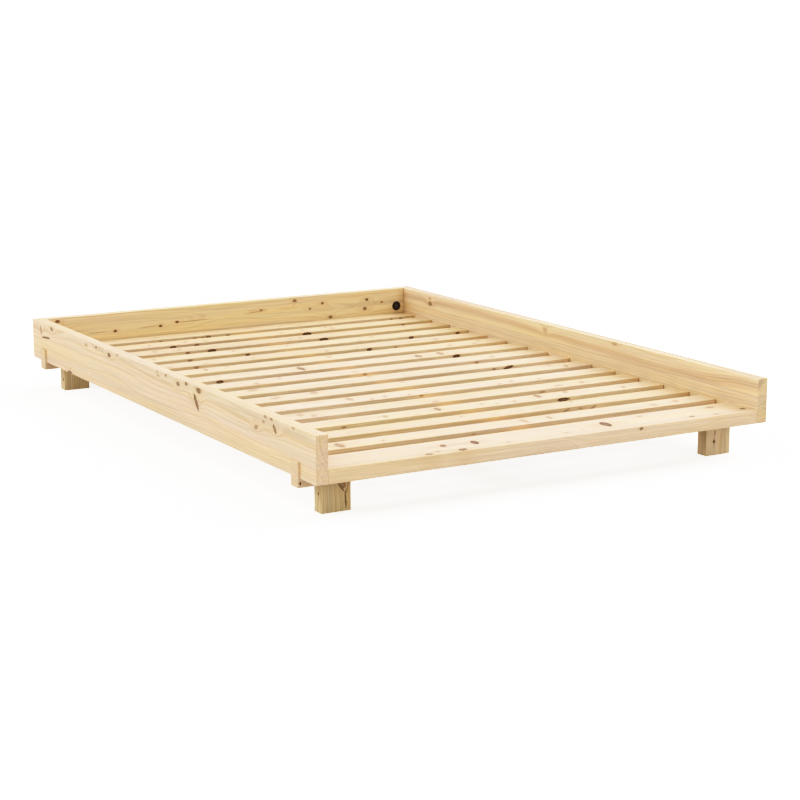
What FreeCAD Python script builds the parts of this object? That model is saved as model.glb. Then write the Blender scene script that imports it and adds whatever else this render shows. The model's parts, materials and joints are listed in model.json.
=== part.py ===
"""Low platform bed frame of planed pine for a 1400 x 2000 mm mattress.

Frame: X runs across the bed, Y runs from the open foot end (-Y) to the head (+Y), Z is up.
The origin is on the floor, in the middle of the frame's outer box. Units are millimetres.

Two side rails and a head rail stand on two cross bars, whose upstanding ends pass through notches
in the rails. A thick foot board lies flat between the rails. Ledgers and a centre rail carry a roll
of slats held at their spacing by two tapes. Cam connectors pull the corners together.
"""
import FreeCAD, Part
import os

os.makedirs("parts", exist_ok=True)

# Driving dimensions
FRAME_WIDTH = 1480.0          # over the outer faces of the side rails
FRAME_LENGTH = 2050.0
RAIL_HEIGHT = 132.0
RAIL_THICKNESS = 36.0
LEG_HEIGHT = 78.0             # floor to the underside of the cross bars
BAR_DEPTH = 24.0              # cross bar between its ends, top flush with the rails' bottom edge
BAR_WIDTH = 40.0              # cross bars and legs, along Y
BAR_SETBACK = 87.0            # end of the frame to the face of a cross bar
BAR_END_HEIGHT = 68.0         # full height of a cross bar's end
BAR_END_PROUD = 7.0           # how far a cross bar's end stands out of the side rail
NOTCH_CLEARANCE = 0.3
LEG_WIDTH = 88.0
LEG_INSET = 25.0              # outer side of a leg to the inner face of the side rail
FOOT_BOARD_DEPTH = 134.0
FOOT_BOARD_THICKNESS = 40.0
SLAT_COUNT = 15
SLAT_WIDTH = 74.0
SLAT_THICKNESS = 20.0
SLAT_GAP = 51.0
SLAT_END_CLEARANCE = 1.0
LEDGER_WIDTH = 30.0
CENTRE_RAIL_WIDTH = 68.0
CENTRE_RAIL_DEPTH = 38.0
EDGE_RADIUS = 1.8             # eased edges of planed timber
SLAT_EDGE_RADIUS = 2.2

TAPE_WIDTH = 20.0
TAPE_THICKNESS = 1.0
TAPE_X = 360.0                # middle of each tape from the middle of the bed
STAPLE_CROWN = 12.0
STAPLE_WIRE = 1.2
STAPLE_LEG = 8.0

CONNECTOR_INSET = 32.0        # middle of a cam housing from the side rail's inner face
HOUSING_FLANGE_RADIUS = 17.0
HOUSING_FLANGE_HEIGHT = 1.5
HOUSING_BODY_RADIUS = 15.0
HOUSING_BODY_DEPTH = 14.0
HOUSING_RIM = 3.0
HOUSING_DISH = 0.8
CAM_RADIUS = 6.5
CAM_LENGTH = 12.5
CAM_CLEARANCE = 0.2
CAM_SLOT_LENGTH = 9.0
CAM_SLOT_WIDTH = 2.0
CAM_SLOT_DEPTH = 2.5
TIE_BOLT_RADIUS = 3.0
TIE_BOLT_DEPTH = 8.0          # axis of the tie bolt below the face that holds the housing
TIE_BOLT_GRIP = 14.0          # how far the tie bolt and its insert reach into the side rail
INSERT_RADIUS = 5.0

CORNER_DOWEL_RADIUS = 4.0
CORNER_DOWEL_LENGTH = 40.0
HEAD_DOWEL_SPREAD = 40.0      # dowels above and below the connector of the head rail
FOOT_DOWEL_SETBACK = 20.0
LEG_DOWEL_RADIUS = 5.0
LEG_DOWEL_LENGTH = 40.0
LEG_DOWEL_SPREAD = 26.0

BRACKET_THICKNESS = 2.5
BRACKET_ARM = 50.0
BRACKET_HEIGHT = 14.0
BRACKET_TOP_GAP = 3.0         # below the top of the centre rail

# Levels and planes worked out from them
HALF_WIDTH = FRAME_WIDTH / 2
HALF_LENGTH = FRAME_LENGTH / 2
INNER_X = HALF_WIDTH - RAIL_THICKNESS
HEAD_FACE_Y = HALF_LENGTH - RAIL_THICKNESS
RAIL_BOTTOM = LEG_HEIGHT + BAR_DEPTH
RAIL_TOP = RAIL_BOTTOM + RAIL_HEIGHT
RAIL_MIDDLE = (RAIL_BOTTOM + RAIL_TOP) / 2
BAR_END_TOP = LEG_HEIGHT + BAR_END_HEIGHT
BAR_Y = HALF_LENGTH - BAR_SETBACK - BAR_WIDTH / 2
SLAT_TOP = RAIL_BOTTOM + FOOT_BOARD_THICKNESS
SLAT_BOTTOM = SLAT_TOP - SLAT_THICKNESS
FOOT_BOARD_BACK = FOOT_BOARD_DEPTH - HALF_LENGTH
CENTRE_RAIL_BOTTOM = SLAT_BOTTOM - CENTRE_RAIL_DEPTH
LEG_MIDDLE_X = INNER_X - LEG_INSET - LEG_WIDTH / 2
RAIL_MIDDLE_X = HALF_WIDTH - RAIL_THICKNESS / 2
CONNECTOR_X = INNER_X - CONNECTOR_INSET
SLAT_STARTS = [
    FOOT_BOARD_BACK + SLAT_GAP + number * (SLAT_WIDTH + SLAT_GAP) for number in range(SLAT_COUNT)
]

SIDES = (("left", -1), ("right", 1))
ENDS = (("front", -1), ("rear", 1))
X_AXIS = FreeCAD.Vector(1, 0, 0)
Y_AXIS = FreeCAD.Vector(0, 1, 0)
Z_AXIS = FreeCAD.Vector(0, 0, 1)

nodes = {}


def box(x_range, y_range, z_range):
    """A sharp-edged box between pairs of limits, given in any order."""
    low = FreeCAD.Vector(min(x_range), min(y_range), min(z_range))
    high = FreeCAD.Vector(max(x_range), max(y_range), max(z_range))
    size = high - low
    return Part.makeBox(size.x, size.y, size.z, low)


def plank(x_range, y_range, z_range, radius=EDGE_RADIUS):
    """A planed piece of timber, with every edge eased."""
    solid = box(x_range, y_range, z_range)
    return solid.makeFillet(radius, solid.Edges)


def rod(start, direction, length, radius):
    return Part.makeCylinder(radius, length, FreeCAD.Vector(*start), direction)


def screw(start, direction, length, radius, head_radius):
    """A countersunk screw, whose head lies flush at start and whose shank points along direction."""
    head_depth = head_radius - radius
    place = FreeCAD.Vector(*start)
    tip_length = 2 * radius
    head = Part.makeCone(head_radius, radius, head_depth, place, direction)
    shank_start = place + direction * head_depth
    shank_length = length - head_depth - tip_length
    shank = Part.makeCylinder(radius, shank_length, shank_start, direction)
    tip_start = shank_start + direction * shank_length
    tip = Part.makeCone(radius, 0.3 * radius, tip_length, tip_start, direction)
    socket_radius = 0.45 * head_radius
    socket = Part.makeCylinder(socket_radius, 0.8 * head_depth, place, direction)
    return head.fuse([shank, tip]).removeSplitter().cut(socket)


def cut_from(names, tools):
    """Make room in the named pieces for solids that go through them."""
    for name in names:
        nodes[name] = nodes[name].cut(tools)


def add_group(name, solids, through=()):
    """One node of several separate solids, with their holes cut in the pieces they hold."""
    nodes[name] = Part.makeCompound(solids)
    cut_from(through, solids)


def side_rails():
    """Side rails, notched from below for the ends of the cross bars."""
    half_notch = BAR_WIDTH / 2 + NOTCH_CLEARANCE
    for side, sign in SIDES:
        x_range = (sign * INNER_X, sign * HALF_WIDTH)
        rail = plank(x_range, (-HALF_LENGTH, HALF_LENGTH), (RAIL_BOTTOM, RAIL_TOP))
        for _, end in ENDS:
            y_range = (end * BAR_Y - half_notch, end * BAR_Y + half_notch)
            notch_x = (sign * (INNER_X - 1), sign * (HALF_WIDTH + 1))
            rail = rail.cut(box(notch_x, y_range, (RAIL_BOTTOM - 1, BAR_END_TOP + NOTCH_CLEARANCE)))
        nodes[f"side_rail_{side}"] = rail


def end_boards():
    """The head rail stands between the side rails; the foot board lies flat between them."""
    x_range = (-INNER_X, INNER_X)
    nodes["head_rail"] = plank(x_range, (HEAD_FACE_Y, HALF_LENGTH), (RAIL_BOTTOM, RAIL_TOP))
    nodes["foot_board"] = plank(x_range, (-HALF_LENGTH, FOOT_BOARD_BACK), (RAIL_BOTTOM, SLAT_TOP))


def cross_bars():
    """Low bars across the bed, with upstanding ends that stand out of the side rails."""
    half_span = HALF_WIDTH + BAR_END_PROUD
    shoulder_x = INNER_X + NOTCH_CLEARANCE
    profile = (
        (-half_span, LEG_HEIGHT),
        (half_span, LEG_HEIGHT),
        (half_span, BAR_END_TOP),
        (shoulder_x, BAR_END_TOP),
        (shoulder_x, RAIL_BOTTOM),
        (-shoulder_x, RAIL_BOTTOM),
        (-shoulder_x, BAR_END_TOP),
        (-half_span, BAR_END_TOP),
    )
    for end_name, end in ENDS:
        near_y = end * BAR_Y - BAR_WIDTH / 2
        corners = [FreeCAD.Vector(x, near_y, z) for x, z in profile]
        face = Part.Face(Part.makePolygon(corners + corners[:1]))
        bar = face.extrude(Y_AXIS * BAR_WIDTH)
        eased = [edge for edge in bar.Edges if edge.CenterOfMass.z < RAIL_BOTTOM
                 or abs(edge.CenterOfMass.x) > HALF_WIDTH]
        nodes[f"cross_bar_{end_name}"] = bar.makeFillet(EDGE_RADIUS, eased)


def legs():
    """Four block legs under the cross bars."""
    for end_name, end in ENDS:
        y_range = (end * BAR_Y - BAR_WIDTH / 2, end * BAR_Y + BAR_WIDTH / 2)
        for side, sign in SIDES:
            middle = sign * LEG_MIDDLE_X
            x_range = (middle - LEG_WIDTH / 2, middle + LEG_WIDTH / 2)
            nodes[f"leg_{end_name}_{side}"] = plank(x_range, y_range, (0, LEG_HEIGHT))


def slat_supports():
    """Ledgers along the side rails, the centre rail and its own leg."""
    y_range = (FOOT_BOARD_BACK, HEAD_FACE_Y)
    for side, sign in SIDES:
        x_range = (sign * (INNER_X - LEDGER_WIDTH), sign * INNER_X)
        nodes[f"ledger_{side}"] = plank(x_range, y_range, (RAIL_BOTTOM, SLAT_BOTTOM))
    half_rail = CENTRE_RAIL_WIDTH / 2
    rail = plank((-half_rail, half_rail), y_range, (CENTRE_RAIL_BOTTOM, SLAT_BOTTOM))
    half_notch = BAR_WIDTH / 2 + NOTCH_CLEARANCE
    notch_y = (BAR_Y - half_notch, BAR_Y + half_notch)
    notch_x = (-half_rail - 1, half_rail + 1)
    nodes["centre_rail"] = rail.cut(box(notch_x, notch_y, (CENTRE_RAIL_BOTTOM - 1, RAIL_BOTTOM)))
    leg_y = (-BAR_WIDTH / 2, BAR_WIDTH / 2)
    nodes["centre_leg"] = plank((-half_rail, half_rail), leg_y, (0, CENTRE_RAIL_BOTTOM))


def slat_roll():
    """Slats held at their spacing by two tapes stapled underneath."""
    half_slat = INNER_X - SLAT_END_CLEARANCE
    slat_names = [f"slat_{number + 1:02d}" for number in range(SLAT_COUNT)]
    for name, start in zip(slat_names, SLAT_STARTS):
        y_range = (start, start + SLAT_WIDTH)
        nodes[name] = plank((-half_slat, half_slat), y_range, (SLAT_BOTTOM, SLAT_TOP), SLAT_EDGE_RADIUS)
    tape_y = (SLAT_STARTS[0] + SLAT_EDGE_RADIUS, SLAT_STARTS[-1] + SLAT_WIDTH - SLAT_EDGE_RADIUS)
    tape_z = (SLAT_BOTTOM - TAPE_THICKNESS, SLAT_BOTTOM)
    staples = []
    for side, sign in SIDES:
        x_range = (sign * TAPE_X - TAPE_WIDTH / 2, sign * TAPE_X + TAPE_WIDTH / 2)
        nodes[f"slat_tape_{side}"] = box(x_range, tape_y, tape_z)
        tape_staples = [staple(sign * TAPE_X, start + SLAT_WIDTH / 2) for start in SLAT_STARTS]
        cut_from([f"slat_tape_{side}"], tape_staples)
        for name, one in zip(slat_names, tape_staples):
            cut_from([name], [one])
        staples += tape_staples
    nodes["tape_staples"] = Part.makeCompound(staples)


def staple(x, y):
    """A wire staple driven up through the tape into a slat."""
    crown_bottom = SLAT_BOTTOM - TAPE_THICKNESS - STAPLE_WIRE
    half_crown = STAPLE_CROWN / 2
    y_range = (y - STAPLE_WIRE / 2, y + STAPLE_WIRE / 2)
    crown = box((x - half_crown, x + half_crown), y_range, (crown_bottom, crown_bottom + STAPLE_WIRE))
    prongs = []
    for sign in (-1, 1):
        x_range = (x + sign * half_crown, x + sign * (half_crown - STAPLE_WIRE))
        prongs.append(box(x_range, y_range, (crown_bottom, SLAT_BOTTOM + STAPLE_LEG)))
    return crown.fuse(prongs).removeSplitter()


def connector(label, sign, board, face_point, inward):
    """A cam connector: housing and cam in a board's face, tie bolt and insert in the side rail.

    face_point is the middle of the housing on the board's face and inward points into the board.
    """
    place = FreeCAD.Vector(*face_point)
    outward = inward * -1
    body = Part.makeCylinder(HOUSING_BODY_RADIUS, HOUSING_BODY_DEPTH, place, inward)
    flange = Part.makeCylinder(HOUSING_FLANGE_RADIUS, HOUSING_FLANGE_HEIGHT, place, outward)
    flange = flange.makeFillet(0.6 * HOUSING_FLANGE_HEIGHT, [outer_edge(flange, outward)])
    face = place + outward * HOUSING_FLANGE_HEIGHT
    dish = Part.makeCylinder(HOUSING_FLANGE_RADIUS - HOUSING_RIM, HOUSING_DISH, face, inward)
    cam_start = face + inward * HOUSING_DISH
    cam_room = Part.makeCylinder(CAM_RADIUS + CAM_CLEARANCE, CAM_LENGTH, cam_start, inward)
    cam = Part.makeCylinder(CAM_RADIUS, CAM_LENGTH, cam_start, inward)
    across = inward.cross(X_AXIS)
    for long_way, short_way in ((X_AXIS, across), (across, X_AXIS)):
        cam = cam.cut(slot(cam_start, inward, long_way, short_way))
    bolt_middle = place + inward * TIE_BOLT_DEPTH
    bolt_start = FreeCAD.Vector(sign * (CONNECTOR_X + 0.4 * CAM_RADIUS), bolt_middle.y, bolt_middle.z)
    bolt_length = INNER_X + TIE_BOLT_GRIP - abs(bolt_start.x)
    bolt = Part.makeCylinder(TIE_BOLT_RADIUS, bolt_length, bolt_start, X_AXIS * sign)
    insert_start = FreeCAD.Vector(sign * INNER_X, bolt_middle.y, bolt_middle.z)
    insert = Part.makeCylinder(INSERT_RADIUS, TIE_BOLT_GRIP, insert_start, X_AXIS * sign)
    nodes[board] = nodes[board].cut([body, bolt])
    rail = f"side_rail_{'left' if sign < 0 else 'right'}"
    cut_from([rail], [insert])
    nodes[f"cam_housing_{label}"] = body.fuse(flange).removeSplitter().cut([dish, cam_room, bolt])
    nodes[f"cam_{label}"] = cam.cut(bolt)
    nodes[f"tie_bolt_{label}"] = bolt
    return insert.cut(bolt)


def outer_edge(disc, outward):
    """The circular edge of a disc that lies furthest along outward."""
    return max(disc.Edges, key=lambda edge: edge.CenterOfMass.dot(outward))


def slot(start, inward, long_way, short_way):
    """One arm of the cross that a screwdriver turns."""
    half_long = long_way * (CAM_SLOT_LENGTH / 2)
    half_short = short_way * (CAM_SLOT_WIDTH / 2)
    corners = [
        start - half_long - half_short,
        start + half_long - half_short,
        start + half_long + half_short,
        start - half_long + half_short,
    ]
    return Part.Face(Part.makePolygon(corners + corners[:1])).extrude(inward * CAM_SLOT_DEPTH)


def connectors():
    """Two connectors in the head rail's inner face and two under the foot board."""
    foot_y = -BAR_Y - BAR_WIDTH / 2 - HOUSING_FLANGE_RADIUS - 3.0
    inserts = []
    for side, sign in SIDES:
        head_point = (sign * CONNECTOR_X, HEAD_FACE_Y, RAIL_MIDDLE)
        inserts.append(connector(f"head_{side}", sign, "head_rail", head_point, Y_AXIS))
        foot_point = (sign * CONNECTOR_X, foot_y, RAIL_BOTTOM)
        inserts.append(connector(f"foot_{side}", sign, "foot_board", foot_point, Z_AXIS))
    nodes["rail_inserts"] = Part.makeCompound(inserts)


def corner_dowels():
    """Wooden dowels that keep the head rail and foot board from turning at the corners."""
    head_middle_y = HALF_LENGTH - RAIL_THICKNESS / 2
    foot_middle_z = RAIL_BOTTOM + FOOT_BOARD_THICKNESS / 2
    places = [
        (head_middle_y, RAIL_MIDDLE - HEAD_DOWEL_SPREAD),
        (head_middle_y, RAIL_MIDDLE + HEAD_DOWEL_SPREAD),
        (FOOT_DOWEL_SETBACK - HALF_LENGTH, foot_middle_z),
    ]
    dowels = []
    for _, sign in SIDES:
        start_x = sign * (INNER_X - CORNER_DOWEL_LENGTH / 2)
        for y, z in places:
            start = (start_x, y, z)
            dowels.append(rod(start, X_AXIS * sign, CORNER_DOWEL_LENGTH, CORNER_DOWEL_RADIUS))
    add_group("corner_dowels", dowels, ["side_rail_left", "side_rail_right", "head_rail", "foot_board"])


def leg_fixings():
    """Two dowels and one long screw hold each leg to its cross bar."""
    dowels = []
    screws = []
    for _, end in ENDS:
        for _, sign in SIDES:
            middle = sign * LEG_MIDDLE_X
            for shift in (-LEG_DOWEL_SPREAD, LEG_DOWEL_SPREAD):
                start = (middle + shift, end * BAR_Y, LEG_HEIGHT - LEG_DOWEL_LENGTH / 2)
                dowels.append(rod(start, Z_AXIS, LEG_DOWEL_LENGTH, LEG_DOWEL_RADIUS))
            top = (middle, end * BAR_Y, RAIL_BOTTOM)
            screws.append(screw(top, Z_AXIS * -1, 70.0, 3.0, 6.0))
    wood = [f"leg_{end}_{side}" for end, _ in ENDS for side, _ in SIDES]
    wood += ["cross_bar_front", "cross_bar_rear"]
    add_group("leg_dowels", dowels, wood)
    add_group("leg_screws", screws, wood)


def rail_fixings():
    """Bolts up through the cross bars' ends into the side rails, and screws into the foot board."""
    bolts = []
    for _, end in ENDS:
        for _, sign in SIDES:
            start = (sign * RAIL_MIDDLE_X, end * BAR_Y, LEG_HEIGHT)
            bolts.append(screw(start, Z_AXIS, 105.0, 3.5, 6.5))
    rails = ["side_rail_left", "side_rail_right", "cross_bar_front", "cross_bar_rear"]
    add_group("rail_bolts", bolts, rails)
    screws = [screw((x, -BAR_Y, LEG_HEIGHT), Z_AXIS, 52.0, 2.5, 5.0) for x in (-400.0, 0.0, 400.0)]
    add_group("foot_board_screws", screws, ["cross_bar_front", "foot_board"])


def ledger_fixings():
    """Screws through each ledger into its rail, and up into the first and last slat."""
    screws = []
    slat_screws = []
    screw_count = 7
    end_margin = 80.0
    first_y = FOOT_BOARD_BACK + end_margin
    spacing = (HEAD_FACE_Y - end_margin - first_y) / (screw_count - 1)
    middle_z = (RAIL_BOTTOM + SLAT_BOTTOM) / 2
    for _, sign in SIDES:
        inner_face = sign * (INNER_X - LEDGER_WIDTH)
        for number in range(screw_count):
            start = (inner_face, first_y + number * spacing, middle_z)
            screws.append(screw(start, X_AXIS * sign, 50.0, 2.0, 4.0))
        for slat_start in (SLAT_STARTS[0], SLAT_STARTS[-1]):
            start = (sign * (INNER_X - LEDGER_WIDTH / 2), slat_start + SLAT_WIDTH / 2, RAIL_BOTTOM)
            slat_screws.append(screw(start, Z_AXIS, 35.0, 2.0, 4.0))
    ledgers = ["ledger_left", "ledger_right"]
    add_group("ledger_screws", screws, ledgers + ["side_rail_left", "side_rail_right"])
    add_group("slat_screws", slat_screws, ledgers + ["slat_01", f"slat_{SLAT_COUNT:02d}"])


def centre_fixings():
    """Steel angles at both ends of the centre rail, and two screws down into its leg."""
    half_rail = CENTRE_RAIL_WIDTH / 2
    top = SLAT_BOTTOM - BRACKET_TOP_GAP
    z_range = (top - BRACKET_HEIGHT, top)
    middle_z = top - BRACKET_HEIGHT / 2
    screws = []
    wood = ["centre_rail", "foot_board", "head_rail"]
    for end_name, face_y, inward in (("front", FOOT_BOARD_BACK, 1), ("rear", HEAD_FACE_Y, -1)):
        for side, sign in SIDES:
            side_x = sign * half_rail
            along = box(
                (side_x, side_x + sign * BRACKET_THICKNESS),
                (face_y, face_y + inward * BRACKET_ARM),
                z_range,
            )
            across = box(
                (side_x, side_x + sign * BRACKET_ARM),
                (face_y, face_y + inward * BRACKET_THICKNESS),
                z_range,
            )
            name = f"centre_bracket_{end_name}_{side}"
            nodes[name] = along.fuse(across).removeSplitter()
            own = []
            for reach in (0.45 * BRACKET_ARM, 0.8 * BRACKET_ARM):
                rail_start = (side_x + sign * BRACKET_THICKNESS, face_y + inward * reach, middle_z)
                own.append(screw(rail_start, X_AXIS * -sign, 22.0, 1.8, 3.6))
                board_start = (side_x + sign * reach, face_y + inward * BRACKET_THICKNESS, middle_z)
                own.append(screw(board_start, Y_AXIS * -inward, 22.0, 1.8, 3.6))
            cut_from([name], own)
            screws += own
    add_group("bracket_screws", screws, wood)
    leg_screws = [screw((x, 0, SLAT_BOTTOM), Z_AXIS * -1, 80.0, 2.5, 5.0) for x in (-18.0, 18.0)]
    add_group("centre_leg_screws", leg_screws, ["centre_rail", "centre_leg"])


side_rails()
end_boards()
cross_bars()
legs()
slat_supports()
slat_roll()
connectors()
corner_dowels()
leg_fixings()
rail_fixings()
ledger_fixings()
centre_fixings()

for node, shape in nodes.items():
    for solid in shape.Solids:
        if not solid.isValid() or not solid.isClosed():
            print("check this piece:", node)
    shape.exportStep(f"parts/{node}.step")
print(len(nodes), "sub-parts,", sum(len(shape.Solids) for shape in nodes.values()), "solids")
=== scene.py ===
import json
import math
import random

import bpy
from mathutils import Matrix, Vector


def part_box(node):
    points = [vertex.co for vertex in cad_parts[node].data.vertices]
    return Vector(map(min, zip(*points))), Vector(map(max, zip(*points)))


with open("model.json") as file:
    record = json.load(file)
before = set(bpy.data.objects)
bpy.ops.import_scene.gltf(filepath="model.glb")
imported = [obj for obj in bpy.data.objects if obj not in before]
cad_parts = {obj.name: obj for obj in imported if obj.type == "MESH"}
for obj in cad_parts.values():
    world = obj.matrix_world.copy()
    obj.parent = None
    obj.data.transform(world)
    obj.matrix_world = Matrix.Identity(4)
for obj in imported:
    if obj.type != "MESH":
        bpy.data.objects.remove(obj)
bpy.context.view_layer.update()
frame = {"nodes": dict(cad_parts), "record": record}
NODES = frame["nodes"]
MM = 0.001
rng = random.Random(27)


# ---------------------------------------------------------------- node helpers

MIX_A, MIX_B, MIX_RESULT = 6, 7, 2      # the colour sockets of a Mix node


class Net:
    """Short calls that add nodes to one tree and return their output sockets."""

    def __init__(self, tree):
        self.tree = tree

    def add(self, kind, **settings):
        node = self.tree.nodes.new(kind)
        for name, value in settings.items():
            setattr(node, name, value)
        return node

    def feed(self, socket, value):
        if isinstance(value, bpy.types.NodeSocket):
            self.tree.links.new(value, socket)
        elif value is not None:
            socket.default_value = value

    def math(self, operation, *values, clamp=False):
        node = self.add("ShaderNodeMath", operation=operation, use_clamp=clamp)
        for socket, value in zip(node.inputs, values):
            self.feed(socket, value)
        return node.outputs[0]

    def vector(self, operation, a, b=None, scale=None):
        node = self.add("ShaderNodeVectorMath", operation=operation)
        self.feed(node.inputs[0], a)
        self.feed(node.inputs[1], b)
        if scale is not None:
            self.feed(node.inputs["Scale"], scale)
        return node.outputs["Value" if operation in ("LENGTH", "DOT_PRODUCT") else "Vector"]

    def split(self, vector):
        node = self.add("ShaderNodeSeparateXYZ")
        self.feed(node.inputs[0], vector)
        return node.outputs[0], node.outputs[1], node.outputs[2]

    def join(self, x, y, z):
        node = self.add("ShaderNodeCombineXYZ")
        for socket, value in zip(node.inputs, (x, y, z)):
            self.feed(socket, value)
        return node.outputs[0]

    def ease(self, value, low, high, to_low=0.0, to_high=1.0):
        """A smooth step of value between low and high."""
        node = self.add("ShaderNodeMapRange", interpolation_type="SMOOTHSTEP")
        for socket, v in zip(node.inputs, (value, low, high, to_low, to_high)):
            self.feed(socket, v)
        return node.outputs[0]

    def noise(self, vector, scale, detail=2.0, rough=0.5, distort=0.0):
        node = self.add("ShaderNodeTexNoise", noise_dimensions="3D")
        self.feed(node.inputs["Vector"], vector)
        self.feed(node.inputs["Scale"], scale)
        self.feed(node.inputs["Detail"], detail)
        self.feed(node.inputs["Roughness"], rough)
        self.feed(node.inputs["Distortion"], distort)
        return node.outputs["Fac"]

    def noise_line(self, w, detail=0.0):
        node = self.add("ShaderNodeTexNoise", noise_dimensions="1D")
        self.feed(node.inputs["W"], w)
        self.feed(node.inputs["Scale"], 1.0)
        self.feed(node.inputs["Detail"], detail)
        return node.outputs["Fac"]

    def mix(self, factor, a, b, blend="MIX"):
        node = self.add("ShaderNodeMix", data_type="RGBA", blend_type=blend)
        node.clamp_factor = True
        self.feed(node.inputs["Factor"], factor)
        self.feed(node.inputs[MIX_A], a)
        self.feed(node.inputs[MIX_B], b)
        return node.outputs[MIX_RESULT]

    def stretch(self, vector, x, y, z):
        return self.vector("MULTIPLY", vector, (x, y, z))

    def flatness(self, normal):
        """1 on faces that are square to the object's axes, and less on rounded corners."""
        x, y, z = self.split(self.vector("ABSOLUTE", normal))
        return self.math("MAXIMUM", x, self.math("MAXIMUM", y, z))

    def bump(self, height, strength, depth):
        """The normal of a surface with this height on it. Depth is metres."""
        node = self.add("ShaderNodeBump")
        node.inputs["Strength"].default_value = strength
        node.inputs["Distance"].default_value = depth
        self.feed(node.inputs["Height"], height)
        return node.outputs[0]

    def group(self, tree, **inputs):
        node = self.add("ShaderNodeGroup")
        node.node_tree = tree
        for name, value in inputs.items():
            self.feed(node.inputs[name.replace("_", " ")], value)
        return node.outputs


def new_group(name, inputs, outputs):
    """An empty node group. inputs are (name, kind, default); outputs are (name, kind)."""
    tree = bpy.data.node_groups.new(name, "ShaderNodeTree")
    for label, kind, default in inputs:
        socket = tree.interface.new_socket(label, in_out="INPUT", socket_type="NodeSocket" + kind)
        if default is not None:
            socket.default_value = default
    for label, kind in outputs:
        tree.interface.new_socket(label, in_out="OUTPUT", socket_type="NodeSocket" + kind)
    start = tree.nodes.new("NodeGroupInput").outputs
    end = tree.nodes.new("NodeGroupOutput").inputs
    return tree, Net(tree), start, end


def new_material(name):
    material = bpy.data.materials.new(name)
    material.use_nodes = True
    tree = material.node_tree
    shader = tree.nodes["Principled BSDF"]
    return material, Net(tree), shader


def rgb(r, g, b):
    return (r, g, b, 1.0)


# ---------------------------------------------------------------- pine

# Freshly planed pine, as linear colours.
EARLY_PINK = rgb(0.793, 0.648, 0.508)
EARLY_STRAW = rgb(0.772, 0.650, 0.461)
LATE_WOOD = rgb(0.608, 0.463, 0.289)
TAN_SHADE = rgb(0.930, 0.895, 0.820)
STAINED = rgb(0.850, 0.820, 0.840)
# paler wood for the rounded corners: sanded wood and a painted highlight on the eased edges
EDGE_HIGHLIGHT_WOOD = rgb(0.800, 0.680, 0.500)
RESIN = rgb(0.560, 0.380, 0.220)
KNOT_LIVE = rgb(0.480, 0.348, 0.232)
KNOT_DEAD = rgb(0.190, 0.130, 0.085)
BARK = rgb(0.090, 0.060, 0.042)

BRANCH_LEAN = 0.22      # how far a branch leans along the grain for each unit of depth
THROUGH = 10.0          # metres: a reach so long that the branch keeps its size right through the board
LEAST_RADIUS = 0.00005  # metres: keeps the sums defined past the end of a branch


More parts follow.
